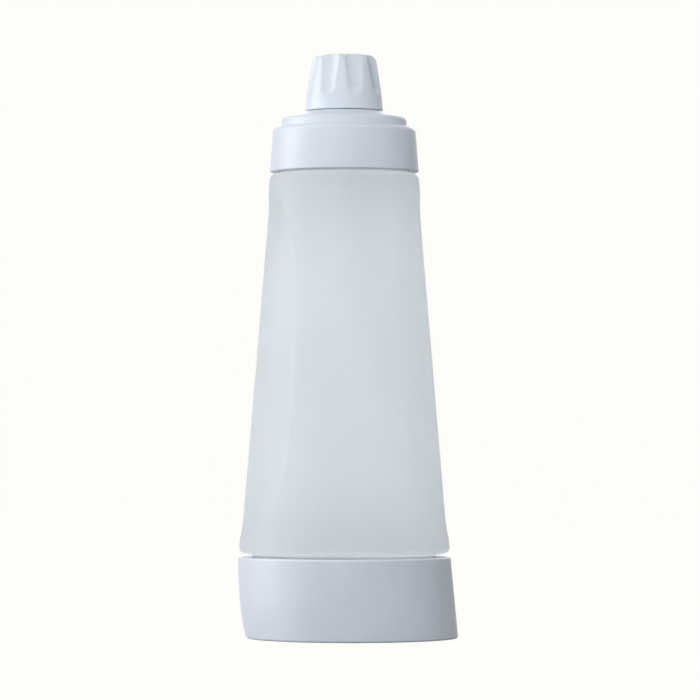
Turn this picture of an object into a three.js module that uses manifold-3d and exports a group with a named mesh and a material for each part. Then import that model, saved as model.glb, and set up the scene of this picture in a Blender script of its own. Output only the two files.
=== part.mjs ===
// A batter mixing bottle. A tapered translucent body is open at both ends. A base cup screws on its wide
// lower neck and is what it stands on. A screw collar clamps a nozzle plate on its upper neck, with a
// silicone flow tip in the plate's spout under a fluted screw cap. A loose wire whisk ball lies inside.
// Millimetres, +Z up. The origin is on the screw axis, in the plane that the bottle stands on. The
// bottle is seen from -Y, with its two grip panels at -X and +X.
import * as THREE from 'three';
import { mergeVertices } from 'three/addons/utils/BufferGeometryUtils.js';
import Module from 'manifold-3d';

const wasm = await Module();
wasm.setup();

// Fits
const seatGap = 0.3; // between two pieces that rest on each other
const baseThreadRoom = 1.7; // from a neck to the bore that screws over it, where the threads run
const collarThreadRoom = 1.6;

// Roundings that many pieces share
const ringEdge = 0.3; // of gaskets, flanges and rings
const rimEdge = 0.5; // of necks and bores
const footEdge = 0.6; // of what screws on
const innerFillet = 1; // in the hollow of the body and of the plate

// Base cup
const baseHeight = 37.6;
const baseRimRadius = 49.2;
const footFlare = 3.5; // how far the foot stands out past the rim at +X
const footTuck = 3.6; // how far it is drawn in behind the rim at -X
const tuckPower = 2.5; // the drawn-in side curves, most of it near the foot
const footEdgeRadius = 1;
const rimEdgeRadius = 0.9;
const ledgeHeight = 19.5; // where the lower neck's gasket seats
const wellInset = 3.7; // the well below the ledge is narrower than the bore by this
const wellDraft = 1; // and narrows by this down to its floor
const wellFillet = 4;
const baseFloor = 2.8;
const baseWall = 2; // of the skirt, the threaded ring, the ledge and the well

// Bottle
const neckSetIn = 8.2; // the lower neck stands in from the base's rim by this
const bodySetIn = 0.3; // and the body's foot by this
const neckWall = 2.2;
const bottleWall = 1.6;
const bodyGap = 0.6; // from the base's rim to the body's underside
const undersideRise = 1.6;
const bodyLength = 177;
const bodyShoulderRadius = 34.4;
const bodyFootFillet = 2.6;
const bodyShoulderFillet = 2.8;
const bodyInnerFillet = 1.2;
const upperNeckRadius = 29.6;
const gripDepth = 0.8;
const gripSpan = THREE.MathUtils.degToRad(57); // from a panel's middle line to its edge
const gripFoot = 8.3; // from the body's underside to a panel's lower end
const gripTop = 10.2; // from a panel's upper end to the body's shoulder
const gripRoundness = 3.5;
const gripRimPower = 6; // the higher, the nearer to its edge a panel levels out

// Screw collar and nozzle plate
const collarGap = 0.7; // from the body's shoulder to the collar
const collarHeight = 20.9;
const collarFootRadius = 34.5;
const collarTopRadius = 33;
const collarFillet = 2.8;
const collarLip = 2; // the inward lip that holds the plate down
const plateRadius = 29;
const plateInCollar = 0.35; // radial clearance in the collar's mouth
const flangeInset = 0.6; // radial clearance of the plate's flange in the collar's bore
const flangeThickness = 1.8;
const plateWall = 2;
const plateRise = 7.2; // from the collar's top to the plate's highest face
const plateDrop = 3.1; // from there down to its rounded rim
const plateFlatRadius = 18.3;
const plateFillet = 1.9;
const deckThickness = 2.4;

// Spout, flow tip and what holds it
const spoutRadius = 12.4;
const spoutBore = 9.6;
const spoutHeight = 13;
const tipClearance = 0.3; // radial, in the spout and in the boss
const tipWall = 2;
const tipFlangeRadius = 15.1;
const tipFlangeThickness = 1.8;
const tipBead = 1.3; // the bead that snaps over the spout's end
const tipBeadFillet = 0.8;
const tipEndRadius = 5.4;
const tipEndFillet = 1.5;
const slitLength = 7;
const slitWidth = 0.5;
const retainerThickness = 2;
const retainerBore = 8.2;
const bossWall = 1.8;
const snapBead = 0.6;

// Nozzle cap and its liner
const capGap = 0.3; // from the plate to the cap's edge
const capHeight = 25.7;
const capFootRadius = 18;
const capWaistRadius = 17.4;
const capWaistHeight = 7.6;
const capCrownRadius = 14.5;
const capCrownFillet = 3.2;
const capWaistFillet = 30;
const capThreadRoom = 1.6;
const capTop = 2.5; // thickness of the crown
const capThroat = 11.2; // radius of the narrow part that holds the liner
const capThroatEdge = 1.8; // how far above the spout's end it begins
const linerThickness = 2;
const linerInset = 0.3;
const fluteCount = 8;
const fluteRadius = 8.5;
const fluteFootDepth = 1.1;
const fluteTopDepth = 2.1;
const fluteEnd = 8; // where they run out, above the cap's edge
const fluteTurn = THREE.MathUtils.degToRad(-72); // direction of one flute's middle

// Gaskets
const gasketThickness = 1.8;
const lowerGasketLip = 2.4; // the lower gasket's lip stands this far up round the neck
const lowerGasketLipWidth = 1;

// Whisk ball
const ballRadius = 27;
const wireRadius = 1.1;
const wireTurns = 8;
const wireSides = 6;
const stepsPerTurn = 24;
const poleAngle = THREE.MathUtils.degToRad(18); // of the two end loops

// How finely round faces are cut
const ringSides = 44;
const smallRingSides = 28;
const arcStep = 1.3; // the longest facet round a fillet
const mostArcSteps = 4;
const skirtRows = 4; // facets up the base's skirt
const gripColumns = 7; // facets across half a grip panel
const outerGripRows = 5; // facets up half a grip panel
const innerGripRows = 3;
const cutterSides = 40; // round a flute's cutter
const cutterRows = 6; // over its round end
const wireSamples = 60; // points on a turn of the wire, where its gaps are measured

// What the base's rim sets
const lowerNeckRadius = baseRimRadius - neckSetIn;
const bodyFootRadius = baseRimRadius - bodySetIn;

// Heights, from the table up
const bodyFoot = baseHeight + bodyGap;
const bodyShoulder = bodyFoot + bodyLength;
const collarFoot = bodyShoulder + collarGap;
const collarTop = collarFoot + collarHeight;
const flangeTop = collarTop - collarLip - seatGap;
const flangeFoot = flangeTop - flangeThickness;
const upperGasketTop = flangeFoot - seatGap;
const upperNeckTop = upperGasketTop - gasketThickness - seatGap;
const lowerGasketFoot = ledgeHeight + seatGap;
const lowerNeckFoot = lowerGasketFoot + gasketThickness + seatGap;
const plateTop = collarTop + plateRise;
const deckUnder = plateTop - deckThickness;
const spoutTop = plateTop + spoutHeight;
const tipFlangeTop = deckUnder - seatGap;
const tipFlangeFoot = tipFlangeTop - tipFlangeThickness;
const retainerTop = tipFlangeFoot - seatGap;
const retainerFoot = retainerTop - retainerThickness;
const capFoot = plateTop + capGap;
const capCrown = capFoot + capHeight;
const linerTop = capCrown - capTop - seatGap;
const linerFoot = linerTop - linerThickness;
const tipTop = linerFoot - seatGap;

// Radii that follow from what fits in what
const baseBore = lowerNeckRadius + baseThreadRoom;
const wellRadius = baseBore - wellInset;
const collarBore = upperNeckRadius + collarThreadRoom;
const flangeRadius = collarBore - flangeInset;
const plateBore = plateRadius - plateWall;
const bossBore = tipFlangeRadius + tipClearance;
const bossRadius = bossBore + bossWall;
const tipRadius = spoutBore - tipClearance;
const capBore = spoutRadius + capThreadRoom;

// An outline through its corners, each [radius, height] or [radius, height, fillet], where a corner with
// a fillet is rounded by an arc. A closed outline runs anticlockwise, with radius to the right.
function outline(corners, closed = true) {
  const points = [];
  const at = (i) => new THREE.Vector2(...corners[(i + corners.length) % corners.length]);
  corners.forEach(([, , fillet], i) => {
    const corner = at(i);
    if (!fillet) {
      points.push(corner);
      return;
    }
    const back = at(i - 1).sub(corner).normalize();
    const on = at(i + 1).sub(corner).normalize();
    const half = Math.acos(back.dot(on)) / 2;
    const centre = back.clone().add(on).normalize().multiplyScalar(fillet / Math.sin(half)).add(corner);
    const start = back.clone().multiplyScalar(fillet / Math.tan(half)).add(corner).sub(centre);
    const sweep = -Math.sign(back.cross(on)) * (Math.PI - 2 * half);
    const steps = Math.min(mostArcSteps, Math.ceil((fillet * Math.abs(sweep)) / arcStep));
    for (let k = 0; k <= steps; k += 1) {
      const spoke = start.clone().rotateAround(new THREE.Vector2(), (sweep * k) / steps);
      points.push(spoke.add(centre));
    }
  });
  if (closed) points.push(points[0].clone());
  return points;
}

// A solid turned from an outline that is closed or that starts and ends on the axis. reshape moves each
// point of it: it takes and gives a radius, a height and an angle round from +X.
function turned(points, { sides = ringSides, reshape = (...point) => point } = {}) {
  const positions = [];
  const rings = points.map(({ x, y }) => {
    const first = positions.length / 3;
    const count = Math.abs(x) < 1e-6 ? 1 : sides;
    for (let k = 0; k < count; k += 1) {
      const [radius, height, turn] = reshape(x, y, (2 * Math.PI * k) / sides);
      positions.push(radius * Math.cos(turn), radius * Math.sin(turn), height);
    }
    return (k) => first + (count === 1 ? 0 : k % sides);
  });
  if (points[0].distanceTo(points.at(-1)) < 1e-6) rings[rings.length - 1] = rings[0];
  const index = [];
  for (let i = 1; i < rings.length; i += 1) {
    for (let k = 0; k < sides; k += 1) {
      const [a, b, c, d] = [rings[i - 1](k), rings[i](k), rings[i](k + 1), rings[i - 1](k + 1)];
      if (a !== d) index.push(a, d, c);
      if (b !== c) index.push(a, c, b);
    }
  }
  const geometry = new THREE.BufferGeometry();
  geometry.setAttribute('position', new THREE.Float32BufferAttribute(positions, 3));
  geometry.setIndex(index);
  return geometry;
}

// Boolean cuts: a geometry as a manifold solid, and back.
function toSolid(geometry) {
  const bare = geometry.clone();
  bare.deleteAttribute('normal');
  bare.deleteAttribute('uv');
  const merged = mergeVertices(bare, 1e-4);
  const triVerts = [];
  for (let i = 0; i < merged.index.count; i += 3) {
    const [a, b, c] = [0, 1, 2].map((k) => merged.index.getX(i + k));
    if (a !== b && b !== c && c !== a) triVerts.push(a, b, c);
  }
  const vertProperties = new Float32Array(merged.attributes.position.array);
  return new wasm.Manifold(new wasm.Mesh({ numProp: 3, vertProperties, triVerts: new Uint32Array(triVerts) }));
}

function cut(geometry, tools) {
  const solid = tools.reduce((rest, tool) => rest.subtract(toSolid(tool)), toSolid(geometry));
  const { vertProperties, triVerts } = solid.getMesh();
  const result = new THREE.BufferGeometry();
  result.setAttribute('position', new THREE.BufferAttribute(new Float32Array(vertProperties), 3));
  result.setIndex(new THREE.BufferAttribute(new Uint32Array(triVerts), 1));
  return result;
}

// The base cup: a skirt joined at its rim to the threaded ring inside it, which steps in at a ledge to a
// well with the floor. The foot leans out past the rim at +X and is drawn in at -X, and the rest is round.
function baseCup() {
  const ringOuter = baseBore + baseWall;
  const wellOuter = wellRadius - wellDraft + baseWall;
  const skirtInner = baseRimRadius - baseWall;
  const lean = (height, turn) => {
    const down = 1 - height / baseHeight;
    const drawnIn = (1 - Math.cos(turn)) / 2;
    return footFlare * down * (1 - drawnIn) - footTuck * down ** tuckPower * drawnIn;
  };
  const rows = [];
  for (let k = 1; k < skirtRows; k += 1) rows.push((baseHeight * k) / skirtRows);
  const points = outline([
    [0, 0],
    [wellOuter, 0],
    [wellOuter + wellDraft, ledgeHeight - baseWall],
    [ringOuter, ledgeHeight - baseWall],
    [ringOuter, baseHeight - baseWall],
    [skirtInner, baseHeight - baseWall],
    ...rows.toReversed().map((height) => [skirtInner, height]),
    [skirtInner, 0],
    [baseRimRadius, 0, footEdgeRadius],
    ...rows.map((height) => [baseRimRadius, height]),
    [baseRimRadius, baseHeight, rimEdgeRadius],
    [baseBore, baseHeight, rimEdge],
    [baseBore, ledgeHeight],
    [wellRadius, ledgeHeight],
    [wellRadius - wellDraft, baseFloor, wellFillet],
    [0, baseFloor],
  ], false);
  const onSkirt = (ringOuter + skirtInner) / 2;
  return turned(points, {
    reshape: (radius, height, turn) => [
      radius > onSkirt ? radius + lean(height, turn) : radius,
      height,
      turn,
    ],
  });
}

// The grip panels, at -X and at +X: each is a shallow scoop with a rounded outline and a crisp edge.
// The facets of the body are drawn in round the outline, so that a row of their edges runs along it.
const gripMiddle = (bodyFoot + gripFoot + bodyShoulder - gripTop) / 2;
const gripReach = bodyShoulder - gripTop - gripMiddle;

function coneRadius(height) {
  const share = (height - bodyFoot - undersideRise) / (bodyLength - undersideRise);
  return THREE.MathUtils.lerp(bodyFootRadius, bodyShoulderRadius, share);
}

function gripRows(rows) {
  const heights = [];
  for (let k = -rows; k <= rows; k += 1) {
    heights.push(gripMiddle + gripReach * Math.sin((Math.PI / 2) * (k / rows)));
  }
  return heights;
}

function gripped(radius, height, turn) {
  const quarter = Math.PI / 2;
  const side = Math.round(turn / Math.PI) * Math.PI;
  const column = (Math.abs(turn - side) / quarter) * (ringSides / 4);
  const past = Math.max(0, column - gripColumns) / (ringSides / 4 - gripColumns);
  const angle = column < gripColumns
    ? gripSpan * (column / gripColumns)
    : THREE.MathUtils.lerp(gripSpan, quarter, past);
  let across = angle / gripSpan;
  let along = (height - gripMiddle) / gripReach;
  if (Math.abs(along) < 1.001) {
    const furthest = Math.max(across, Math.abs(along));
    const power = across ** gripRoundness + Math.abs(along) ** gripRoundness;
    const drawn = power > 0 ? furthest / power ** (1 / gripRoundness) : 1;
    const scale = THREE.MathUtils.lerp(drawn, 1, past);
    across *= scale;
    along *= scale;
  }
  const reach = across ** gripRoundness + Math.abs(along) ** gripRoundness;
  const inset = gripDepth * (1 - Math.min(1, reach) ** gripRimPower);
  const moved = gripMiddle + gripReach * along;
  return [
    radius + coneRadius(moved) - coneRadius(height) - inset,
    moved,
    side + Math.sign(turn - side) * across * gripSpan,
  ];
}

// The bottle: a thin cone between a wide lower neck and a narrower upper one.
function bottle() {
  const lowerBore = lowerNeckRadius - neckWall;
  const upperBore = upperNeckRadius - neckWall;
  const undersideOut = bodyFoot + undersideRise;
  const points = outline([
    [lowerBore, lowerNeckFoot, rimEdge],
    [lowerNeckRadius, lowerNeckFoot, rimEdge],
    [lowerNeckRadius, bodyFoot],
    [bodyFootRadius, undersideOut, bodyFootFillet],
    ...gripRows(outerGripRows).map((height) => [coneRadius(height), height]),
    [bodyShoulderRadius, bodyShoulder, bodyShoulderFillet],
    [upperNeckRadius, bodyShoulder],
    [upperNeckRadius, upperNeckTop, rimEdge],
    [upperBore, upperNeckTop, rimEdge],
    [upperBore, bodyShoulder - bottleWall, innerFillet],
    [bodyShoulderRadius - bottleWall, bodyShoulder - bottleWall, bodyInnerFillet],
    ...gripRows(innerGripRows).toReversed().map((height) => [coneRadius(height) - bottleWall, height]),
    [bodyFootRadius - bottleWall, undersideOut + bottleWall, bodyInnerFillet],
    [lowerBore, bodyFoot + bottleWall, innerFillet],
  ]);
  return turned(points, { reshape: gripped });
}

// The lower gasket: a flat ring under the neck's rim with a lip up round the neck.
function lowerGasket() {
  const inner = lowerNeckRadius - neckWall + seatGap;
  const lipInner = lowerNeckRadius + seatGap;
  const flatTop = lowerGasketFoot + gasketThickness;
  return turned(outline([
    [inner, lowerGasketFoot],
    [lipInner + lowerGasketLipWidth, lowerGasketFoot, ringEdge],
    [lipInner + lowerGasketLipWidth, flatTop + lowerGasketLip, ringEdge],
    [lipInner, flatTop + lowerGasketLip],
    [lipInner, flatTop],
    [inner, flatTop],
  ]));
}

// The upper gasket: a flat ring between the neck's rim and the plate's flange.
function upperGasket() {
  const inner = upperNeckRadius - neckWall + seatGap;
  return turned(outline([
    [inner, upperGasketTop - gasketThickness],
    [flangeRadius, upperGasketTop - gasketThickness, ringEdge],
    [flangeRadius, upperGasketTop, ringEdge],
    [inner, upperGasketTop],
  ]));
}

// The screw collar: a plain ring whose lip holds the nozzle plate down on the neck.
function screwCollar() {
  const mouth = plateRadius + plateInCollar;
  return turned(outline([
    [collarBore, collarFoot, ringEdge],
    [collarFootRadius, collarFoot, footEdge],
    [collarTopRadius, collarTop, collarFillet],
    [mouth, collarTop, ringEdge],
    [mouth, collarTop - collarLip],
    [collarBore, collarTop - collarLip],
  ]));
}

// The nozzle plate: a hollow stepped disc with the spout on it and, under it, a boss for the flow tip.
function nozzlePlate() {
  const bossFoot = retainerFoot - seatGap - 2 * snapBead;
  const rimHeight = plateTop - plateDrop;
  return turned(outline([
    [plateBore, flangeFoot],
    [flangeRadius, flangeFoot, ringEdge],
    [flangeRadius, flangeTop, ringEdge],
    [plateRadius, flangeTop],
    [plateRadius, rimHeight, plateFillet],
    [plateFlatRadius, plateTop],
    [spoutRadius, plateTop, footEdge],
    [spoutRadius, spoutTop, rimEdge],
    [spoutBore, spoutTop, ringEdge],
    [spoutBore, deckUnder],
    [bossBore, deckUnder],
    [bossBore, bossFoot + 2 * snapBead],
    [bossBore - snapBead, bossFoot + snapBead],
    [bossBore, bossFoot],
    [bossRadius, bossFoot],
    [bossRadius, deckUnder],
    [plateBore, rimHeight - plateWall, innerFillet],
  ]));
}

// The flow tip: a silicone nozzle pushed up through the spout, with a crossed slit in its end.
function flowTip() {
  const bore = tipRadius - tipWall;
  const beadFoot = spoutTop + seatGap;
  const end = turned(outline([
    [0, tipTop - tipWall],
    [tipEndRadius - tipWall / 2, tipTop - tipWall, innerFillet],
    [bore, beadFoot],
    [bore, tipFlangeFoot],
    [tipFlangeRadius, tipFlangeFoot, ringEdge],
    [tipFlangeRadius, tipFlangeTop, ringEdge],
    [tipRadius, tipFlangeTop],
    [tipRadius, beadFoot],
    [tipRadius + tipBead, beadFoot, ringEdge],
    [tipRadius + tipBead, beadFoot + 2 * tipBead, tipBeadFillet],
    [tipEndRadius, tipTop, tipEndFillet],
    [0, tipTop],
  ], false), { sides: smallRingSides });
  const slits = [0, Math.PI / 2].map((turn) => {
    const blade = new THREE.BoxGeometry(slitLength, slitWidth, 3 * tipWall);
    return blade.rotateZ(turn).translate(0, 0, tipTop - tipWall / 2);
  });
  return cut(end, slits);
}

// The retainer: a ring snapped into the boss under the flow tip's flange.
function tipRetainer() {
  return turned(outline([
    [retainerBore, retainerFoot, ringEdge],
    [tipFlangeRadius, retainerFoot, ringEdge],
    [tipFlangeRadius, retainerTop, ringEdge],
    [retainerBore, retainerTop, ringEdge],
  ]), { sides: smallRingSides });
}

// The nozzle cap: a hollow crown with scooped flutes that run down from its top and end round.
function nozzleCap() {
  const throatFoot = spoutTop + capThroatEdge;
  const waist = capFoot + capWaistHeight;
  const crown = turned(outline([
    [0, capCrown - capTop],
    [capThroat, capCrown - capTop, rimEdge],
    [capThroat, throatFoot],
    [capBore, throatFoot - (capBore - capThroat)],
    [capBore, capFoot, ringEdge],
    [capFootRadius, capFoot, footEdge],
    [capWaistRadius, waist, capWaistFillet],
    [capCrownRadius, capCrown, capCrownFillet],
    [0, capCrown],
  ], false));
  const slope = (capWaistRadius - capCrownRadius) / (capCrown - waist);
  const middle = (height, depth) => capWaistRadius - slope * (height - waist) + fluteRadius - depth;
  const lowest = capFoot + fluteEnd + Math.sqrt(fluteFootDepth * (2 * fluteRadius - fluteFootDepth));
  const foot = middle(lowest, fluteFootDepth);
  const tilt = Math.atan2(foot - middle(capCrown, fluteTopDepth), capCrown - lowest);
  const length = 2 * capHeight;
  const flutes = [];
  for (let i = 0; i < fluteCount; i += 1) {
    const cutter = new THREE.CapsuleGeometry(fluteRadius, length, cutterRows, cutterSides);
    cutter.rotateX(Math.PI / 2).translate(0, 0, length / 2).rotateY(-tilt).translate(foot, 0, lowest);
    flutes.push(cutter.rotateZ(fluteTurn + (2 * Math.PI * i) / fluteCount));
  }
  return cut(crown, flutes);
}

// The liner: a soft disc in the cap's throat that seals the flow tip.
function capLiner() {
  return turned(outline([
    [0, linerFoot],
    [capThroat - linerInset, linerFoot, ringEdge],
    [capThroat - linerInset, linerTop, ringEdge],
    [0, linerTop],
  ], false), { sides: smallRingSides });
}

// The whisk ball's wire: one spiral over a sphere, from a small loop at its foot to one at its top.
class BallSpiral extends THREE.Curve {
  getPoint(share, target = new THREE.Vector3()) {
    const polar = Math.PI - poleAngle - share * (Math.PI - 2 * poleAngle);
    const turn = 2 * Math.PI * wireTurns * share;
    return target.setFromSphericalCoords(ballRadius - wireRadius, polar, turn);
  }
}

function whiskBall() {
  const section = new THREE.Shape();
  for (let k = 0; k < wireSides; k += 1) {
    const turn = (2 * Math.PI * k) / wireSides;
    section[k ? 'lineTo' : 'moveTo'](wireRadius * Math.cos(turn), wireRadius * Math.sin(turn));
  }
  const ball = new THREE.ExtrudeGeometry(section, {
    steps: wireTurns * stepsPerTurn,
    extrudePath: new BallSpiral(),
    bevelEnabled: false,
  });
  const lowest = (ballRadius - wireRadius) * Math.cos(poleAngle) + wireRadius;
  return ball.rotateX(Math.PI / 2).translate(0, 0, baseFloor + seatGap + lowest);
}

// The least gap between turns of the whisk ball's wire, measured on points of its middle line.
function leastWireGap() {
  const count = wireTurns * wireSamples;
  const points = new BallSpiral().getPoints(count);
  let least = Infinity;
  for (let i = 0; i < count; i += 1) {
    for (let k = i + wireSamples / 2; k <= count; k += 1) {
      least = Math.min(least, points[i].distanceTo(points[k]));
    }
  }
  return least - 2 * wireRadius;
}
console.log(`least gap between the whisk ball's turns: ${leastWireGap().toFixed(2)} mm`);

const mouldedPlastic = { color: 0xd3dae4, roughness: 0.42, metalness: 0 };
const frostedPlastic = { color: 0xdfe1e3, roughness: 0.5, metalness: 0 };
const silicone = { color: 0xe9e9e6, roughness: 0.6, metalness: 0 };
const steelWire = { color: 0xb9bcc0, roughness: 0.25, metalness: 1 };

const group = new THREE.Group();

function add(name, geometry, finish) {
  const mesh = new THREE.Mesh(geometry, new THREE.MeshStandardMaterial(finish));
  mesh.name = name;
  group.add(mesh);
}

add('base_cup', baseCup(), mouldedPlastic);
add('lower_gasket', lowerGasket(), silicone);
add('bottle', bottle(), frostedPlastic);
add('upper_gasket', upperGasket(), silicone);
add('screw_collar', screwCollar(), mouldedPlastic);
add('nozzle_plate', nozzlePlate(), mouldedPlastic);
add('flow_tip', flowTip(), silicone);
add('tip_retainer', tipRetainer(), mouldedPlastic);
add('nozzle_cap', nozzleCap(), mouldedPlastic);
add('cap_liner', capLiner(), silicone);
add('whisk_ball', whiskBall(), steelWire);

export default group;
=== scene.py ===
"""A batter mixing bottle: a tapered translucent squeeze bottle that stands on a screw-on base cup, with a
screw collar, a nozzle plate and a fluted screw cap on top, and a loose wire whisk ball inside."""
import math

import bmesh
import bpy
import numpy as np
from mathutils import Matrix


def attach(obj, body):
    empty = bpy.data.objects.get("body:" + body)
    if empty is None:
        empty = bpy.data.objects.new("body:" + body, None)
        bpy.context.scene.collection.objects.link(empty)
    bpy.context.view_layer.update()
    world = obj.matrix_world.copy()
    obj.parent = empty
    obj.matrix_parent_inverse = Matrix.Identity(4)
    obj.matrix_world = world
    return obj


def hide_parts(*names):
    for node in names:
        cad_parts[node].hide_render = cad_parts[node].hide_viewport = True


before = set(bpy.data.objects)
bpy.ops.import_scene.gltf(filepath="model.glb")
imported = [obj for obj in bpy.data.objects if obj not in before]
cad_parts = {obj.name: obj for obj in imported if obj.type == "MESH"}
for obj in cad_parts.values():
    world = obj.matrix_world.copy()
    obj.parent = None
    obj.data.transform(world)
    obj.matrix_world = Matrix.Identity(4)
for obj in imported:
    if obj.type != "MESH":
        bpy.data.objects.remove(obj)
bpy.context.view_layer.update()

# Base cup
# The foot that the bottle stands on: a moulded cup of satin polypropylene, a skirt joined at its rim to the
# threaded ring inside it, with a ledge for the lower gasket and a well where the whisk ball lies. The foot
# leans out past the rim at +X and is drawn in at -X.
MM = 0.001
BASE_HEIGHT = 37.6
BASE_RIM = 49.2
BASE_WALL = 2.0
BASE_BORE = 42.7
LEDGE_HEIGHT = 19.5
WELL_RADIUS = 39.0
WELL_DRAFT = 1.0
BASE_FLOOR = 2.8
FOOT_FLARE = 3.5
FOOT_TUCK = 3.6
TUCK_POWER = 2.5


def rounded(corners, closed=True, arc=5.0):
    """The outline through the corners, each (radius, height) or (radius, height, fillet) in mm. A fillet is
    the arc that touches both sides of its corner: its centre lies on their bisector, at the fillet radius
    over the sine of half the corner's angle. arc is the turn in degrees between neighbouring points."""
    points = []
    spots = np.array([corner[:2] for corner in corners], float)
    for i, corner in enumerate(corners):
        here = spots[i]
        if len(corner) < 3:
            points.append(here[None])
            continue
        back = spots[i - 1] - here
        on = spots[(i + 1) % len(spots)] - here
        back /= np.linalg.norm(back)
        on /= np.linalg.norm(on)
        half = math.acos(float(back @ on)) / 2
        middle = (back + on) / np.linalg.norm(back + on)
        centre = here + middle * corner[2] / math.sin(half)
        spoke = here + back * corner[2] / math.tan(half) - centre
        cross = back[0] * on[1] - back[1] * on[0]
        sweep = -np.sign(cross) * (math.pi - 2 * half)
        turn = np.linspace(0, sweep, max(2, math.ceil(abs(math.degrees(sweep)) / arc) + 1))[:, None]
        across = np.array([-spoke[1], spoke[0]])
        points.append(centre + spoke * np.cos(turn) + across * np.sin(turn))
    outline = np.concatenate(points)
    return np.concatenate([outline, outline[:1]]) if closed else outline


def spaced(outline, longest):
    """The same outline with each stretch cut into equal steps no longer than the given length."""
    stretches = [outline[:1]]
    for start, end in zip(outline[:-1], outline[1:]):
        steps = max(1, math.ceil(float(np.linalg.norm(end - start)) / longest))
        share = np.arange(1, steps + 1)[:, None] / steps
        stretches.append(start + (end - start) * share)
    return np.concatenate(stretches)


def surface(name, grid, crease=8.0):
    """A closed skin over a grid of points in mm: four-sided faces between neighbouring rows, each row
    joined round on itself, with points that coincide made one and edges sharper than crease left sharp."""
    rows, columns = grid.shape[:2]
    row = np.arange(rows - 1)[:, None] * columns
    column = np.arange(columns)[None]
    after = (column + 1) % columns
    faces = np.stack([row + column, row + after, row + columns + after, row + columns + column], axis=-1)
    mesh = bpy.data.meshes.new(name)
    mesh.from_pydata((grid.reshape(-1, 3) * MM).tolist(), [], faces.reshape(-1, 4).tolist())
    skin = bmesh.new()
    skin.from_mesh(mesh)
    bmesh.ops.remove_doubles(skin, verts=skin.verts, dist=2e-6)
    bmesh.ops.dissolve_degenerate(skin, edges=skin.edges, dist=1e-7)
    bmesh.ops.recalc_face_normals(skin, faces=skin.faces)
    skin.to_mesh(mesh)
    skin.free()
    mesh.polygons.foreach_set("use_smooth", np.ones(len(mesh.polygons), bool))
    mesh.set_sharp_from_angle(angle=math.radians(crease))
    piece = bpy.data.objects.new(name, mesh)
    bpy.context.scene.collection.objects.link(piece)
    return piece


def turned(name, outline, sides=240, reshape=None):
    """A surface of revolution: the outline's radii and heights carried round +Z. reshape takes and gives
    whole arrays of radius, height and angle, where the piece isn't quite round."""
    turn = np.linspace(0, 2 * math.pi, sides, endpoint=False)[None]
    radius, height = outline[:, :1], outline[:, 1:]
    if reshape:
        radius, height, turn = reshape(radius, height, turn)
    radius, height, turn = np.broadcast_arrays(radius, height, turn)
    return surface(name, np.stack([radius * np.cos(turn), radius * np.sin(turn), height], axis=-1))


def paint(hexed):
    """An sRGB colour such as "c8d2dc" as the linear red, green, blue and alpha that a shader takes."""
    share = np.array([int(hexed[i:i + 2], 16) for i in (0, 2, 4)]) / 255
    linear = np.where(share <= 0.04045, share / 12.92, ((share + 0.055) / 1.055) ** 2.4)
    return (*linear.tolist(), 1.0)


def add(tree, kind, inputs=None, **settings):
    """A node of the given kind, with its settings, and its inputs set to values or linked to outputs."""
    node = tree.nodes.new(kind)
    for key, value in settings.items():
        setattr(node, key, value)
    for key, value in (inputs or {}).items():
        if isinstance(value, bpy.types.NodeSocket):
            tree.links.new(value, node.inputs[key])
        else:
            node.inputs[key].default_value = value
    return node


def finish(name):
    """An empty material with its output, for one of the bottle's finishes."""
    material = bpy.data.materials.new(name)
    material.use_nodes = True
    tree = material.node_tree
    tree.nodes.clear()
    return material, tree, add(tree, "ShaderNodeOutputMaterial")


def ramp(tree, share, stops):
    """A colour ramp fed by share, with stops of (position, hex colour)."""
    node = add(tree, "ShaderNodeValToRGB", {"Fac": share})
    elements = node.color_ramp.elements
    while len(elements) < len(stops):
        elements.new(0.5)
    for element, (position, colour) in zip(elements, stops):
        element.position = position
        element.color = paint(colour)
    return node.outputs["Color"]


def moulded_plastic():
    """Pale blue-grey polypropylene with a satin spark-eroded skin: a slow mottle from the melt's flow about
    25 mm long, and a grain in height and in gloss, drawn about 0.35 mm wide, coarser than the real one, so
    that it shows from near by."""
    material, tree, output = finish("moulded_plastic")
    place = add(tree, "ShaderNodeTexCoord").outputs["Object"]
    flow = add(tree, "ShaderNodeTexNoise", {"Vector": place, "Scale": 40.0, "Detail": 3.0, "Roughness": 0.45})
    grain = add(tree, "ShaderNodeTexNoise", {"Vector": place, "Scale": 2800.0, "Detail": 2.0})
    colour = ramp(tree, flow.outputs["Fac"], [(0.25, "cdd4de"), (0.75, "d4dbe4")])
    gloss = add(tree, "ShaderNodeMapRange", {"Value": grain.outputs["Fac"], "To Min": 0.40, "To Max": 0.52})
    bump = add(tree, "ShaderNodeBump", {"Height": grain.outputs["Fac"], "Strength": 0.06, "Distance": 0.0001})
    skin = add(tree, "ShaderNodeBsdfPrincipled", {
        "Base Color": colour, "Roughness": gloss.outputs["Result"], "Normal": bump.outputs["Normal"]})
    skin.inputs["Subsurface Weight"].default_value = 0.12
    skin.inputs["Subsurface Radius"].default_value = (1.0, 1.0, 1.0)
    skin.inputs["Subsurface Scale"].default_value = 0.002
    skin.inputs["Specular IOR Level"].default_value = 0.4
    tree.links.new(skin.outputs["BSDF"], output.inputs["Surface"])
    return material


def dressed(piece, material, body, node):
    """A finished piece: its material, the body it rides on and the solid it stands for."""
    piece.data.materials.append(material)
    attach(piece, body)
    if node:
        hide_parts(node)
    return piece


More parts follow.
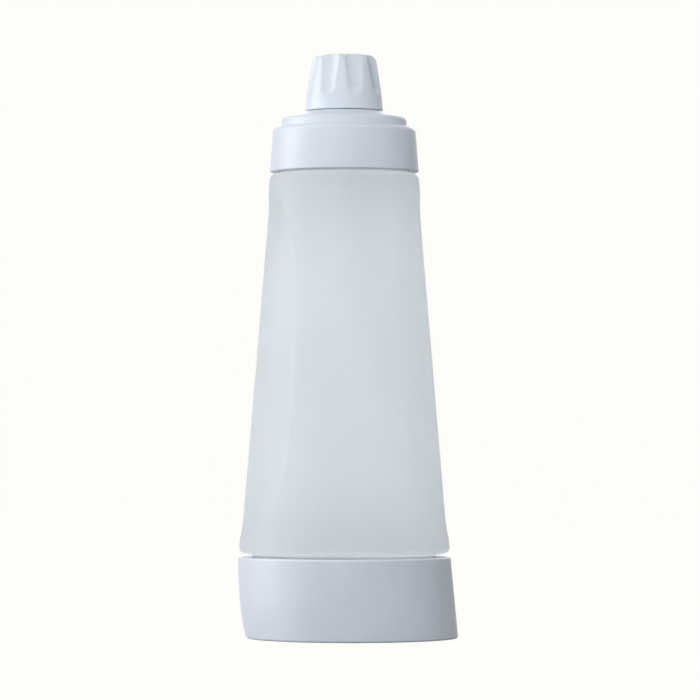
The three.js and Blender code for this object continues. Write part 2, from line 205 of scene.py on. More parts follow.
def leaning(radius, height, turn):
    """The skirt leans by the flare times the depth below the rim at +X, and draws in by the tuck times that
    depth to a power at -X, blended round by half of one minus the cosine. What is inside stays round."""
    depth = 1 - height / BASE_HEIGHT
    drawn_in = (1 - np.cos(turn)) / 2
    lean = FOOT_FLARE * depth * (1 - drawn_in) - FOOT_TUCK * np.maximum(depth, 0) ** TUCK_POWER * drawn_in
    on_skirt = radius > (BASE_BORE + BASE_RIM) / 2
    return radius + np.where(on_skirt, lean, 0), height, turn


PLASTIC = moulded_plastic()
base_outline = rounded([
    (0, 0),
    (WELL_RADIUS - WELL_DRAFT + BASE_WALL, 0, 0.4),
    (WELL_RADIUS + BASE_WALL, LEDGE_HEIGHT - BASE_WALL, 0.5),
    (BASE_BORE + BASE_WALL, LEDGE_HEIGHT - BASE_WALL, 0.5),
    (BASE_BORE + BASE_WALL, BASE_HEIGHT - BASE_WALL, 0.4),
    (BASE_RIM - BASE_WALL, BASE_HEIGHT - BASE_WALL, 0.4),
    (BASE_RIM - BASE_WALL, 0, 0.3),
    (BASE_RIM, 0, 1.0),
    (BASE_RIM, BASE_HEIGHT, 0.9),
    (BASE_BORE, BASE_HEIGHT, 0.5),
    (BASE_BORE, LEDGE_HEIGHT, 0.3),
    (WELL_RADIUS, LEDGE_HEIGHT, 0.4),
    (WELL_RADIUS - WELL_DRAFT, BASE_FLOOR, 4.0),
    (0, BASE_FLOOR),
], closed=False)
base_cup = turned("base_cup_skin", spaced(base_outline, 2.0), reshape=leaning)
dressed(base_cup, PLASTIC, "base", "base_cup")

# Screw threads
# Each pair of threads is a raised ridge moulded on a neck or spout and another in the bore that screws over
# it. They stand clear of each other along the screw, so that they slide past, and are all right-handed.
BASE_LEAD = 9.0
BASE_RIDGE = 1.15
BASE_RIDGE_WIDTH = 2.2
BASE_THREAD_FOOT = 26.2
THREAD_FADE = math.radians(25)


def thread(name, root, crest, foot, lead, width, material, body, start=0.0):
    """A ridge wound on a wall: its rounded section stands from just inside the root radius to the crest, is
    carried along one turn of a helix that rises by lead, and fades into the wall at both ends."""
    angle = np.linspace(0, 2 * math.pi, 97)[:, None]
    fade = np.clip(np.minimum(angle, angle[-1] - angle) / THREAD_FADE, 0, 1)
    fade = fade * fade * (3 - 2 * fade)
    depth = np.array([-0.2, 0.45, 0.85, 1.0, 1.0, 0.85, 0.45, -0.2])[None]
    across = np.array([-0.5, -0.4, -0.3, -0.16, 0.16, 0.3, 0.4, 0.5])[None]
    radius = root + (crest - root) * (np.where(depth > 0, depth * fade, depth))
    height = foot + lead * angle / (2 * math.pi) + across * width
    turn = angle + start
    grid = np.stack(np.broadcast_arrays(radius * np.cos(turn), radius * np.sin(turn), height), axis=-1)
    ends = [np.broadcast_to(row.mean(axis=0), row.shape)[None] for row in (grid[0], grid[-1])]
    piece = surface(name, np.concatenate([ends[0], grid, ends[1]]), crease=40)
    piece.data.materials.append(material)
    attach(piece, body)
    return piece


base_thread = thread("base_bore_thread", BASE_BORE, BASE_BORE - BASE_RIDGE, BASE_THREAD_FOOT, BASE_LEAD,
                     BASE_RIDGE_WIDTH, PLASTIC, "base")

# Bottle body
# A blow-moulded squeeze body of milky low-density polyethylene, open at both ends: a thin cone between a
# wide lower neck and a narrower upper one, with a shallow thumb-and-finger panel pressed into each side.
BODY_FOOT = BASE_HEIGHT + 0.6
BODY_LENGTH = 177.0
BODY_SHOULDER = BODY_FOOT + BODY_LENGTH
UNDERSIDE_RISE = 1.6
BODY_FOOT_RADIUS = 48.9
BODY_SHOULDER_RADIUS = 34.4
BODY_WALL = 1.6
LOWER_NECK = 41.0
UPPER_NECK = 29.6
NECK_WALL = 2.2
NECK_FOOT = 21.9
NECK_TOP = 230.3
GRIP_DEPTH = 0.8
GRIP_SPAN = math.radians(57)
GRIP_FOOT = BODY_FOOT + 8.3
GRIP_TOP = BODY_SHOULDER - 10.2
GRIP_MIDDLE = (GRIP_FOOT + GRIP_TOP) / 2
GRIP_REACH = GRIP_TOP - GRIP_MIDDLE
GRIP_ROUNDNESS = 3.5
GRIP_RIM_POWER = 6
GRIP_COLUMNS = 7 / 11


def cone(height):
    """The body's outer radius without its panels: a straight taper from foot to shoulder."""
    share = (height - BODY_FOOT - UNDERSIDE_RISE) / (BODY_LENGTH - UNDERSIDE_RISE)
    return BODY_FOOT_RADIUS + (BODY_SHOULDER_RADIUS - BODY_FOOT_RADIUS) * share


def gripped(radius, height, turn):
    """The body with its two panels. across and along run from -1 to 1 over a panel's width and height, and
    the panel lies where the sum of their powers is under 1: there the wall sinks by the depth times one
    minus that sum to the sixth. A set share of the columns lies over the panels, and rows and columns are
    drawn in by a factor so that one of them follows the panel's outline."""
    side = np.round(turn / math.pi) * math.pi
    column = np.abs(turn - side) / (math.pi / 2)
    past = np.clip((column - GRIP_COLUMNS) / (1 - GRIP_COLUMNS), 0, 1)
    over_panel = GRIP_SPAN * column / GRIP_COLUMNS
    angle = np.where(column < GRIP_COLUMNS, over_panel, GRIP_SPAN + (math.pi / 2 - GRIP_SPAN) * past)
    across, along = np.broadcast_arrays(angle / GRIP_SPAN, (height - GRIP_MIDDLE) / GRIP_REACH)
    inside = np.abs(along) < 1.001
    power = (across ** GRIP_ROUNDNESS + np.abs(along) ** GRIP_ROUNDNESS) ** (1 / GRIP_ROUNDNESS)
    drawn = np.maximum(across, np.abs(along)) / np.maximum(power, 1e-9)
    factor = np.where(inside & (power > 0), drawn + (1 - drawn) * past, 1)
    across, along = across * factor, along * factor
    reach = np.minimum(1, across ** GRIP_ROUNDNESS + np.abs(along) ** GRIP_ROUNDNESS)
    moved = GRIP_MIDDLE + GRIP_REACH * along
    inset = GRIP_DEPTH * (1 - reach ** GRIP_RIM_POWER)
    outward = radius + cone(moved) - cone(height) - inset
    return outward, moved, side + np.sign(turn - side) * across * GRIP_SPAN


def panel_rows(rows):
    """Heights up the body's wall, closer together near the two ends of the panels."""
    return GRIP_MIDDLE + GRIP_REACH * np.sin(np.linspace(-math.pi / 2, math.pi / 2, rows))


def frosted_plastic():
    """Milky polyethylene about 1.6 mm thick. Most of the light that meets the wall scatters on through it,
    so the body glows evenly inside and hides what is in it. A slow cloudiness about 30 mm wide and 85 mm
    long runs up the body from the blow moulding. The colour is painted a little lighter from mid-height down
    to the wide foot: painted light that lifts the shade falling on the body's lower part. The skin has a
    satin grain, drawn 0.45 mm wide so that it shows from near by."""
    material, tree, output = finish("frosted_plastic")
    place = add(tree, "ShaderNodeTexCoord").outputs["Object"]
    stretched = add(tree, "ShaderNodeMapping", {"Vector": place, "Scale": (1.0, 1.0, 0.35)}).outputs["Vector"]
    cloud = add(tree, "ShaderNodeTexNoise", {
        "Vector": stretched, "Scale": 34.0, "Detail": 3.0, "Roughness": 0.5})
    grain = add(tree, "ShaderNodeTexNoise", {"Vector": place, "Scale": 2200.0, "Detail": 2.0})
    height = add(tree, "ShaderNodeSeparateXYZ", {"Vector": place}).outputs["Z"]
    # Painted light: the colour grows lighter from mid-height down to the foot, lifting the shade that falls
    # on the body's lower part.
    lower = add(tree, "ShaderNodeMapRange", {
        "Value": height, "From Min": BODY_FOOT * MM, "From Max": GRIP_MIDDLE * MM,
        "To Min": 0.4, "To Max": 0.0})
    # The share is the moulding's cloudiness plus the painted light towards the foot.
    pale = add(tree, "ShaderNodeMath", {0: cloud.outputs["Fac"], 1: lower.outputs["Result"]}, operation="ADD")
    colour = ramp(tree, pale.outputs[0], [(0.0, "e6e8ea"), (1.0, "f1f3f5")])
    gloss = add(tree, "ShaderNodeMapRange", {"Value": grain.outputs["Fac"], "To Min": 0.42, "To Max": 0.54})
    bump = add(tree, "ShaderNodeBump", {"Height": grain.outputs["Fac"], "Strength": 0.05, "Distance": 0.0001})
    skin = add(tree, "ShaderNodeBsdfPrincipled", {
        "Base Color": colour, "Roughness": gloss.outputs["Result"], "Normal": bump.outputs["Normal"]})
    skin.inputs["Transmission Weight"].default_value = 0.6
    skin.inputs["Specular IOR Level"].default_value = 0.15
    through = add(tree, "ShaderNodeBsdfTranslucent", {"Color": colour, "Normal": bump.outputs["Normal"]})
    wall = add(tree, "ShaderNodeMixShader", {0: 0.64, 1: skin.outputs["BSDF"], 2: through.outputs["BSDF"]})
    tree.links.new(wall.outputs[0], output.inputs["Surface"])
    return material


FROSTED = frosted_plastic()
WALL_ROWS = 70
wall_rows = panel_rows(WALL_ROWS)
outer_wall = [(float(cone(height)), float(height)) for height in wall_rows]
inner_wall = [(radius - BODY_WALL, height) for radius, height in reversed(outer_wall)]
bottle_outline = rounded([
    (LOWER_NECK - NECK_WALL, NECK_FOOT, 0.5),
    (LOWER_NECK, NECK_FOOT, 0.5),
    (LOWER_NECK, BODY_FOOT, 0.5),
    (BODY_FOOT_RADIUS, BODY_FOOT + UNDERSIDE_RISE, 2.6),
    *outer_wall,
    (BODY_SHOULDER_RADIUS, BODY_SHOULDER, 2.8),
    (UPPER_NECK, BODY_SHOULDER, 0.5),
    (UPPER_NECK, NECK_TOP, 0.5),
    (UPPER_NECK - NECK_WALL, NECK_TOP, 0.5),
    (UPPER_NECK - NECK_WALL, BODY_SHOULDER - BODY_WALL, 1.0),
    (BODY_SHOULDER_RADIUS - BODY_WALL, BODY_SHOULDER - BODY_WALL, 1.2),
    *inner_wall,
    (BODY_FOOT_RADIUS - BODY_WALL, BODY_FOOT + UNDERSIDE_RISE + BODY_WALL, 1.2),
    (LOWER_NECK - NECK_WALL, BODY_FOOT + BODY_WALL, 1.0),
])
bottle = turned("bottle_skin", bottle_outline, sides=264, reshape=gripped)
dressed(bottle, FROSTED, "bottle", "bottle")
LOWER_THREAD_FOOT = 24.4
lower_thread = thread("lower_neck_thread", LOWER_NECK, LOWER_NECK + BASE_RIDGE, LOWER_THREAD_FOOT, BASE_LEAD,
                      BASE_RIDGE_WIDTH, FROSTED, "bottle", start=math.pi)
COLLAR_LEAD = 8.0
COLLAR_RIDGE = 1.1
COLLAR_RIDGE_WIDTH = 2.0
UPPER_THREAD_FOOT = 218.6
upper_thread = thread("upper_neck_thread", UPPER_NECK, UPPER_NECK + COLLAR_RIDGE, UPPER_THREAD_FOOT,
                      COLLAR_LEAD, COLLAR_RIDGE_WIDTH, FROSTED, "bottle", start=math.pi)

# Silicone seals
# Soft off-white silicone rings: one under the lower neck with a lip up round it, and one between the upper
# neck and the nozzle plate's flange. They are moulded flat and pressed into place by hand.
SEAT_GAP = 0.3
SEAL_WALL = 1.0
SEAL_TOP = 24.0
UPPER_SEAL_FOOT = NECK_TOP + SEAT_GAP
UPPER_SEAL_TOP = UPPER_SEAL_FOOT + 1.8
FLANGE_RADIUS = 30.6


def silicone():
    """Off-white silicone, matt and slightly dusty: a cloudy tone about 15 mm long and a tooth drawn about
    0.3 mm wide."""
    material, tree, output = finish("silicone")
    place = add(tree, "ShaderNodeTexCoord").outputs["Object"]
    cloud = add(tree, "ShaderNodeTexNoise", {"Vector": place, "Scale": 66.0, "Detail": 4.0})
    tooth = add(tree, "ShaderNodeTexNoise", {"Vector": place, "Scale": 3500.0, "Detail": 2.0})
    colour = ramp(tree, cloud.outputs["Fac"], [(0.3, "e2e1dc"), (0.7, "ecebe7")])
    gloss = add(tree, "ShaderNodeMapRange", {"Value": cloud.outputs["Fac"], "To Min": 0.52, "To Max": 0.68})
    bump = add(tree, "ShaderNodeBump", {"Height": tooth.outputs["Fac"], "Strength": 0.08, "Distance": 0.0001})
    skin = add(tree, "ShaderNodeBsdfPrincipled", {
        "Base Color": colour, "Roughness": gloss.outputs["Result"], "Normal": bump.outputs["Normal"]})
    skin.inputs["Subsurface Weight"].default_value = 0.35
    skin.inputs["Subsurface Radius"].default_value = (1.0, 0.95, 0.9)
    skin.inputs["Subsurface Scale"].default_value = 0.003
    skin.inputs["Sheen Weight"].default_value = 0.08
    tree.links.new(skin.outputs["BSDF"], output.inputs["Surface"])
    return material


SILICONE = silicone()
lower_gasket = turned("lower_gasket_skin", rounded([
    (LOWER_NECK - NECK_WALL + SEAT_GAP, LEDGE_HEIGHT + SEAT_GAP, 0.3),
    (LOWER_NECK + SEAT_GAP + SEAL_WALL, LEDGE_HEIGHT + SEAT_GAP, 0.4),
    (LOWER_NECK + SEAT_GAP + SEAL_WALL, SEAL_TOP, 0.3),
    (LOWER_NECK + SEAT_GAP, SEAL_TOP, 0.3),
    (LOWER_NECK + SEAT_GAP, NECK_FOOT - SEAT_GAP),
    (LOWER_NECK - NECK_WALL + SEAT_GAP, NECK_FOOT - SEAT_GAP, 0.3),
]))
dressed(lower_gasket, SILICONE, "lower_seal", "lower_gasket")
upper_gasket = turned("upper_gasket_skin", rounded([
    (UPPER_NECK - NECK_WALL + SEAT_GAP, UPPER_SEAL_FOOT, 0.3),
    (FLANGE_RADIUS, UPPER_SEAL_FOOT, 0.4),
    (FLANGE_RADIUS, UPPER_SEAL_TOP, 0.4),
    (UPPER_NECK - NECK_WALL + SEAT_GAP, UPPER_SEAL_TOP, 0.3),
]))
dressed(upper_gasket, SILICONE, "nozzle", "upper_gasket")

# Screw collar
# A plain moulded ring of the same satin plastic as the base. Its thread runs on the upper neck, and the lip
# at its top pulls the nozzle plate down on its gasket.
COLLAR_FOOT = BODY_SHOULDER + 0.7
COLLAR_TOP = COLLAR_FOOT + 20.9
COLLAR_FOOT_RADIUS = 34.5
COLLAR_TOP_RADIUS = 33.0
COLLAR_BORE = 31.2
COLLAR_LIP = 2.0
PLATE_RADIUS = 29.0
MOUTH_RADIUS = PLATE_RADIUS + 0.35
collar = turned("collar_skin", rounded([
    (COLLAR_BORE, COLLAR_FOOT, 0.4),
    (COLLAR_FOOT_RADIUS, COLLAR_FOOT, 0.6),
    (COLLAR_TOP_RADIUS, COLLAR_TOP, 2.8),
    (MOUTH_RADIUS, COLLAR_TOP, 0.3),
    (MOUTH_RADIUS, COLLAR_TOP - COLLAR_LIP, 0.2),
    (COLLAR_BORE, COLLAR_TOP - COLLAR_LIP, 0.3),
]))
dressed(collar, PLASTIC, "collar", "screw_collar")
COLLAR_THREAD_FOOT = 219.6
collar_thread = thread("collar_bore_thread", COLLAR_BORE, COLLAR_BORE - COLLAR_RIDGE, COLLAR_THREAD_FOOT,
                       COLLAR_LEAD, COLLAR_RIDGE_WIDTH, PLASTIC, "collar")

# Nozzle plate
# A stepped disc held under the collar's lip, moulded in one with the threaded spout that stands on it and
# with a boss under it, where the flow tip is clipped in.
FLANGE_FOOT = UPPER_SEAL_TOP + SEAT_GAP
FLANGE_TOP = COLLAR_TOP - COLLAR_LIP - SEAT_GAP
PLATE_TOP = COLLAR_TOP + 7.2
PLATE_RIM = PLATE_TOP - 3.1
PLATE_WALL = 2.0
DECK_RADIUS = 18.3
DECK_UNDER = PLATE_TOP - 2.4
SPOUT = 12.4
SPOUT_BORE = 9.6
SPOUT_TOP = PLATE_TOP + 13.0
BOSS_BORE = 15.4
BOSS_WALL = 1.8
BOSS_FOOT = 235.7
CLIP_BEAD = 0.6
nozzle_plate = turned("nozzle_plate_skin", rounded([
    (PLATE_RADIUS - PLATE_WALL, FLANGE_FOOT, 0.3),
    (FLANGE_RADIUS, FLANGE_FOOT, 0.3),
    (FLANGE_RADIUS, FLANGE_TOP, 0.3),
    (PLATE_RADIUS, FLANGE_TOP, 0.2),
    (PLATE_RADIUS, PLATE_RIM, 1.9),
    (DECK_RADIUS, PLATE_TOP, 1.0),
    (SPOUT, PLATE_TOP, 0.6),
    (SPOUT, SPOUT_TOP, 0.5),
    (SPOUT_BORE, SPOUT_TOP, 0.3),
    (SPOUT_BORE, DECK_UNDER, 0.2),
    (BOSS_BORE, DECK_UNDER, 0.2),
    (BOSS_BORE, BOSS_FOOT + 2 * CLIP_BEAD, 0.3),
    (BOSS_BORE - CLIP_BEAD, BOSS_FOOT + CLIP_BEAD, 0.3),
    (BOSS_BORE, BOSS_FOOT, 0.15),
    (BOSS_BORE + BOSS_WALL, BOSS_FOOT, 0.3),
    (BOSS_BORE + BOSS_WALL, DECK_UNDER, 0.4),
    (PLATE_RADIUS - PLATE_WALL, PLATE_RIM - PLATE_WALL, 1.0),
]))
dressed(nozzle_plate, PLASTIC, "nozzle", "nozzle_plate")
CAP_LEAD = 8.0
CAP_RIDGE = 1.0
CAP_RIDGE_WIDTH = 1.8
SPOUT_THREAD_FOOT = 246.6
spout_thread = thread("spout_thread", SPOUT, SPOUT + CAP_RIDGE, SPOUT_THREAD_FOOT, CAP_LEAD,
                      CAP_RIDGE_WIDTH, PLASTIC, "nozzle", start=math.pi)

# Flow tip and its clip ring
# The silicone tip is pushed up through the spout until its bead springs out over the spout's end, and a hard
# ring clipped into the boss holds its flange. A crossed slit in its end opens when the bottle is squeezed.
TIP_RADIUS = 9.3
TIP_TOP = 264.9
TIP_WALL = 2.0
TIP_BEAD = 1.3
TIP_END = 5.4
BEAD_FOOT = SPOUT_TOP + SEAT_GAP
TIP_FLANGE_RADIUS = BOSS_BORE - SEAT_GAP
TIP_FLANGE_FOOT = 239.5
TIP_FLANGE_TOP = TIP_FLANGE_FOOT + 1.8
SLIT_LENGTH = 7.0
SLIT_WIDTH = 0.35
SLIT_DEPTH = 6.0
tip_outline = rounded([
    (0, TIP_TOP - TIP_WALL),
    (TIP_END - 1, TIP_TOP - TIP_WALL, 1.0),
    (TIP_RADIUS - TIP_WALL, BEAD_FOOT, 2.0),
    (TIP_RADIUS - TIP_WALL, TIP_FLANGE_FOOT, 0.4),
    (TIP_FLANGE_RADIUS, TIP_FLANGE_FOOT, 0.4),
    (TIP_FLANGE_RADIUS, TIP_FLANGE_TOP, 0.4),
    (TIP_RADIUS, TIP_FLANGE_TOP, 0.2),
    (TIP_RADIUS, BEAD_FOOT, 0.2),
    (TIP_RADIUS + TIP_BEAD, BEAD_FOOT, 0.5),
    (TIP_RADIUS + TIP_BEAD, BEAD_FOOT + 2 * TIP_BEAD, 1.0),
    (TIP_END, TIP_TOP, 1.6),
    (0, TIP_TOP),
], closed=False)
flow_tip = turned("flow_tip_skin", tip_outline, sides=128)


def slit(piece, length, width, depth, middle):
    """Two thin blades, crossed on the axis and centred at the given height, taken out of the piece."""
    for turn in (0, math.pi / 2):
        blade = bpy.data.meshes.new("blade")
        shape = bmesh.new()
        bmesh.ops.create_cube(shape, size=1.0)
        bmesh.ops.scale(shape, vec=(length * MM, width * MM, depth * MM), verts=shape.verts)
        spin = np.array([math.cos(turn), math.sin(turn)])
        for vertex in shape.verts:
            x, y = vertex.co.x, vertex.co.y
            vertex.co.x, vertex.co.y = x * spin[0] - y * spin[1], x * spin[1] + y * spin[0]
            vertex.co.z += middle * MM
        shape.to_mesh(blade)
        shape.free()
        cutter = bpy.data.objects.new("blade", blade)
        bpy.context.scene.collection.objects.link(cutter)
        cutting = piece.modifiers.new("slit", "BOOLEAN")
        cutting.operation = "DIFFERENCE"
        cutting.solver = "EXACT"
        cutting.object = cutter
        shown = piece.evaluated_get(bpy.context.evaluated_depsgraph_get())
        cut = bpy.data.meshes.new_from_object(shown)
        piece.modifiers.clear()
        piece.data = cut
        bpy.data.objects.remove(cutter)
    cut.set_sharp_from_angle(angle=math.radians(25))


slit(flow_tip, SLIT_LENGTH, SLIT_WIDTH, SLIT_DEPTH, TIP_TOP - TIP_WALL / 2)
dressed(flow_tip, SILICONE, "nozzle", "flow_tip")
RING_BORE = 8.2
RING_TOP = TIP_FLANGE_FOOT - SEAT_GAP
RING_FOOT = RING_TOP - 2.0
tip_retainer = turned("tip_retainer_skin", rounded([
    (RING_BORE, RING_FOOT, 0.4),
    (TIP_FLANGE_RADIUS, RING_FOOT, 0.4),
    (TIP_FLANGE_RADIUS, RING_TOP, 0.4),
    (RING_BORE, RING_TOP, 0.4),
]), sides=128)
dressed(tip_retainer, PLASTIC, "nozzle", "tip_retainer")

# Nozzle cap
# A small screw cap over the spout, moulded in the satin plastic, with eight scooped flutes for the fingers.
# They start at the crown's edge and run out in round ends above its plain skirt.
CAP_FOOT = PLATE_TOP + SEAT_GAP
CAP_FOOT_RADIUS = 18.0
CAP_CROWN = CAP_FOOT + 25.7
CAP_WAIST = CAP_FOOT + 7.6
CAP_WAIST_RADIUS = 17.4
CAP_CROWN_RADIUS = 14.5
CAP_ROOF = CAP_CROWN - 2.5
CAP_BORE = 14.0
CAP_BORE_TOP = 256.0
LINER_BORE = 11.2
LINER_BORE_FOOT = 258.8
FLUTES = 8
FLUTE_RADIUS = 8.5
FLUTE_FOOT_DEPTH = 1.1
FLUTE_TOP_DEPTH = 2.1
FLUTE_END = CAP_FOOT + 8.0
FLUTE_TURN = math.radians(-72)
FLUTE_SOFTNESS = 0.3
PLAIN_SKIRT = CAP_FOOT + 4.0
INNERMOST_FLUTE = 11.6


def fluted(radius, height, turn):
    """The cap with its flutes. Each is the path of a ball that starts near the skirt and leans inward as it
    rises; at a height its section is a circle, smaller below the ball's lowest place. Seen from the cap's
    axis its near side is its distance times the cosine of the angle to it, less the root of the circle's
    radius squared minus that distance times the sine, squared. The wall is the nearer of the two, with a
    small rounding where they meet."""
    slope = (CAP_WAIST_RADIUS - CAP_CROWN_RADIUS) / (CAP_CROWN - CAP_WAIST)
    lowest = FLUTE_END + math.sqrt(FLUTE_FOOT_DEPTH * (2 * FLUTE_RADIUS - FLUTE_FOOT_DEPTH))
    foot = CAP_WAIST_RADIUS - slope * (lowest - CAP_WAIST) + FLUTE_RADIUS - FLUTE_FOOT_DEPTH
    top = CAP_CROWN_RADIUS + FLUTE_RADIUS - FLUTE_TOP_DEPTH
    reach = foot + (top - foot) * np.maximum(height - lowest, 0) / (CAP_CROWN - lowest)
    circle = FLUTE_RADIUS ** 2 - np.maximum(lowest - height, 0) ** 2
    pitch = 2 * math.pi / FLUTES
    off = (turn - FLUTE_TURN + pitch / 2) % pitch - pitch / 2
    under = circle - (reach * np.sin(off)) ** 2
    near = reach * np.cos(off) - np.sqrt(np.maximum(under, 0))
    gap = near - radius
    blended = radius + (gap - np.sqrt(gap ** 2 + FLUTE_SOFTNESS ** 2)) / 2
    on_outside = (under > 0) & (height > PLAIN_SKIRT) & (radius > INNERMOST_FLUTE)
    return np.where(on_outside, blended, radius), height, turn


cap_outline = rounded([
    (0, CAP_ROOF),
    (LINER_BORE, CAP_ROOF, 0.5),
    (LINER_BORE, LINER_BORE_FOOT, 0.3),
    (CAP_BORE, CAP_BORE_TOP, 0.4),
    (CAP_BORE, CAP_FOOT, 0.3),
    (CAP_FOOT_RADIUS, CAP_FOOT, 0.6),
    (CAP_WAIST_RADIUS, CAP_WAIST, 30.0),
    (CAP_CROWN_RADIUS, CAP_CROWN, 3.2),
    (0, CAP_CROWN),
], closed=False)
nozzle_cap = turned("nozzle_cap_skin", spaced(cap_outline, 0.5), sides=400, reshape=fluted)
dressed(nozzle_cap, PLASTIC, "cap", "nozzle_cap")
CAP_THREAD_FOOT = 247.0
cap_thread = thread("cap_bore_thread", CAP_BORE, CAP_BORE - CAP_RIDGE, CAP_THREAD_FOOT, CAP_LEAD,
                    CAP_RIDGE_WIDTH, PLASTIC, "cap")
LINER_RADIUS = LINER_BORE - SEAT_GAP
cap_liner = turned("cap_liner_skin", rounded([
    (0, TIP_TOP + SEAT_GAP),
    (LINER_RADIUS, TIP_TOP + SEAT_GAP, 0.4),
    (LINER_RADIUS, CAP_ROOF - SEAT_GAP, 0.4),
    (0, CAP_ROOF - SEAT_GAP),
], closed=False), sides=96)
dressed(cap_liner, SILICONE, "liner", "cap_liner")

# Whisk ball
# One length of stainless wire wound into a ball, loose in the bottle, that breaks up lumps when it is
# shaken. Here it lies on the base cup's floor.
BALL_RADIUS = 27.0
WIRE_RADIUS = 1.1
WIRE_TURNS = 8
POLE_ANGLE = math.radians(18)
BALL_CLEARANCE = 0.3
WIRE_SIDES = 14
END_STEPS = 6


def steel_wire():
    """Bright drawn stainless steel: marks about 1 mm long that change its gloss, and a slight change of
    tone every 11 mm or so along the wire."""
    material, tree, output = finish("steel_wire")
    place = add(tree, "ShaderNodeTexCoord").outputs["Object"]
    marks = add(tree, "ShaderNodeTexNoise", {"Vector": place, "Scale": 900.0, "Detail": 4.0})
    stain = add(tree, "ShaderNodeTexNoise", {"Vector": place, "Scale": 90.0, "Detail": 2.0})
    colour = ramp(tree, stain.outputs["Fac"], [(0.3, "b4b6b8"), (0.7, "c6c8ca")])
    gloss = add(tree, "ShaderNodeMapRange", {"Value": marks.outputs["Fac"], "To Min": 0.16, "To Max": 0.32})
    bump = add(tree, "ShaderNodeBump", {"Height": marks.outputs["Fac"], "Strength": 0.08, "Distance": 0.0001})
    skin = add(tree, "ShaderNodeBsdfPrincipled", {
        "Base Color": colour, "Roughness": gloss.outputs["Result"], "Normal": bump.outputs["Normal"]})
    skin.inputs["Metallic"].default_value = 1.0
    tree.links.new(skin.outputs["BSDF"], output.inputs["Surface"])
    return material


def ball_spiral(name):
    """A round wire carried along a spiral on a sphere. The angle from the top pole falls evenly as the wire
    turns, from a small loop at the foot to one at the top; the wire's ends are rounded like half balls."""
    share = np.linspace(0, 1, WIRE_TURNS * 96 + 1)
    lift = np.sin(np.linspace(0, math.pi / 2, END_STEPS + 1))
    sphere = BALL_RADIUS - WIRE_RADIUS
    polar = math.pi - POLE_ANGLE - share * (math.pi - 2 * POLE_ANGLE)
    turn = 2 * math.pi * WIRE_TURNS * share - math.pi / 2
    out = np.stack([np.sin(polar) * np.cos(turn), np.sin(polar) * np.sin(turn), np.cos(polar)], axis=-1)
    path = sphere * out
    along = np.gradient(path, axis=0)
    along /= np.linalg.norm(along, axis=1, keepdims=True)
    path = np.concatenate([
        path[0] - along[0] * WIRE_RADIUS * lift[::-1][:-1, None],
        path,
        path[-1] + along[-1] * WIRE_RADIUS * lift[1:, None],
    ])
    thick = np.sqrt(1 - lift ** 2)
    thick = WIRE_RADIUS * np.concatenate([thick[::-1][:-1], np.ones(len(share)), thick[1:]])
    held = ((END_STEPS, END_STEPS), (0, 0))
    out, along = np.pad(out, held, mode="edge"), np.pad(along, held, mode="edge")
    side = np.cross(along, out)
    round_wire = np.linspace(0, 2 * math.pi, WIRE_SIDES, endpoint=False)[None, :, None]
    section = out[:, None] * np.cos(round_wire) + side[:, None] * np.sin(round_wire)
    grid = path[:, None] + section * thick[:, None, None]
    lowest = sphere * math.cos(POLE_ANGLE) + WIRE_RADIUS
    grid[..., 2] += BASE_FLOOR + BALL_CLEARANCE + lowest
    return surface(name, grid, crease=60)


whisk_ball = ball_spiral("whisk_ball_wire")
dressed(whisk_ball, steel_wire(), "whisk", "whisk_ball")

# The table and the white card behind it
# A plain pale sweep that shows as white to the camera and keeps the bottle's soft shadow.


def seen_ray(tree):
    """One for the rays that show a background, straight from the camera, in gloss or through a clear wall,
    and nought for those that only carry light."""
    path = add(tree, "ShaderNodeLightPath")
    seen = add(tree, "ShaderNodeMath", {0: path.outputs["Is Camera Ray"], 1: path.outputs["Is Glossy Ray"]},
               operation="MAXIMUM")
    seen = add(tree, "ShaderNodeMath", {0: seen.outputs[0], 1: path.outputs["Is Transmission Ray"]},
               operation="MAXIMUM")
    return seen.outputs[0]


def white_card(name, colour, shadow):
    """A pale matt card that shows its own colour at full strength to camera, gloss and clear rays, less the
    given share that still takes light and shadow."""
    material, tree, output = finish(name)
    share = add(tree, "ShaderNodeMath", {0: seen_ray(tree), 1: 1 - shadow}, operation="MULTIPLY")
    place = add(tree, "ShaderNodeTexCoord").outputs["Object"]
    fibre = add(tree, "ShaderNodeTexNoise", {"Vector": place, "Scale": 30.0, "Detail": 3.0})
    tone = ramp(tree, fibre.outputs["Fac"], [(0.0, "8c8f93"), (1.0, "929599")])
    matt = add(tree, "ShaderNodeBsdfDiffuse", {"Color": tone})
    glow = add(tree, "ShaderNodeEmission", {"Color": paint(colour), "Strength": 1.02})
    both = add(tree, "ShaderNodeMixShader", {0: share.outputs[0], 1: matt.outputs[0], 2: glow.outputs[0]})
    tree.links.new(both.outputs[0], output.inputs["Surface"])
    return material


def sweep():
    """A floor that curves up into a wall far behind the bottle: a line, a quarter circle and a line."""
    bend = np.linspace(-math.pi / 2, 0, 24)
    floor = np.array([[-3.5, 0.0]])
    curve = np.stack([2.0 + 0.8 * np.cos(bend), 0.8 + 0.8 * np.sin(bend)], axis=-1)
    wall = np.array([[2.8, 3.0]])
    line = np.concatenate([floor, curve, wall])
    width = np.array([-3.0, 3.0])
    grid = np.empty((len(line), 2, 3))
    grid[..., 0] = width[None]
    grid[..., 1:] = line[:, None]
    first = np.arange(len(line) - 1)[:, None] * 2
    faces = first + np.array([[0, 1, 3, 2]])
    mesh = bpy.data.meshes.new("sweep")
    mesh.from_pydata(grid.reshape(-1, 3).tolist(), [], faces.tolist())
    mesh.polygons.foreach_set("use_smooth", np.ones(len(mesh.polygons), bool))
    card = bpy.data.objects.new("sweep", mesh)
    bpy.context.scene.collection.objects.link(card)
    card.data.materials.append(white_card("white_card", "fffffb", 0.04))


sweep()

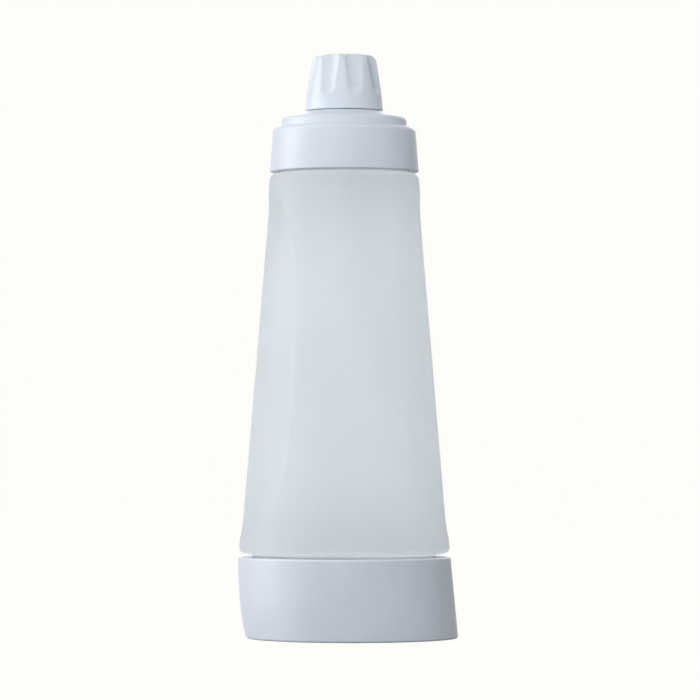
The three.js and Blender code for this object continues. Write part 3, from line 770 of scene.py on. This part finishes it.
# Lights
# A large softbox straight at the left, one above the camera, a small weak one up at the right that lifts the
# shaded side of the collar, and a weak one behind that glows through the milky body. The room is dim, behind
# white paper that only shows as background.
world = bpy.data.worlds.new("studio")
world.use_nodes = True
bpy.context.scene.world = world
room = world.node_tree.nodes["Background"]
room.inputs["Color"].default_value = paint("e9eef4")
room.inputs["Strength"].default_value = 0.1
paper = add(world.node_tree, "ShaderNodeBackground", {"Color": paint("fffffb"), "Strength": 1.0})
view = add(world.node_tree, "ShaderNodeMixShader", {
    0: seen_ray(world.node_tree), 1: room.outputs[0], 2: paper.outputs[0]})
world.node_tree.links.new(view.outputs[0], world.node_tree.nodes["World Output"].inputs["Surface"])


def softbox(name, place, aim, width, height, watts):
    """A rectangular area lamp at place, turned to face aim."""
    lamp = bpy.data.lights.new(name, "AREA")
    lamp.shape = "RECTANGLE"
    lamp.size = width
    lamp.size_y = height
    lamp.energy = watts
    box = bpy.data.objects.new(name, lamp)
    bpy.context.scene.collection.objects.link(box)
    direction = np.array(aim, float) - np.array(place, float)
    flat = math.hypot(direction[0], direction[1])
    box.location = place
    box.rotation_euler = (math.atan2(flat, -direction[2]), 0, math.atan2(-direction[0], direction[1]))


softbox("key_softbox", (-1.75, 0.1, 0.5), (0, 0, 0.14), 0.9, 1.3, 28)
softbox("front_softbox", (-0.3, -1.9, 0.95), (0, 0, 0.14), 1.2, 0.9, 24.5)
softbox("top_softbox", (0.45, -0.5, 0.85), (0, 0, 0.22), 0.4, 0.4, 2.5)
softbox("back_softbox", (0.3, 1.8, 0.8), (0, 0, 0.12), 1.2, 0.8, 12)

# Camera
# Level with the bottle's waist and about two metres away, as the photograph was taken.
IMAGE_WIDTH = 0.3247
CAMERA_PLACE = (0.0026, -1.968, 0.097)
CAMERA_AIM = (0.0026, 0.0, 0.1334)
lens = bpy.data.cameras.new("camera")
lens.sensor_width = 36.0
distance = math.dist(CAMERA_PLACE, CAMERA_AIM)
lens.lens = lens.sensor_width * distance / IMAGE_WIDTH
camera = bpy.data.objects.new("camera", lens)
bpy.context.scene.collection.objects.link(camera)
camera.location = CAMERA_PLACE
rise = CAMERA_AIM[2] - CAMERA_PLACE[2]
camera.rotation_euler = (math.pi / 2 + math.atan2(rise, CAMERA_AIM[1] - CAMERA_PLACE[1]), 0, 0)
bpy.context.scene.camera = camera
bpy.context.scene.view_settings.view_transform = "Standard"
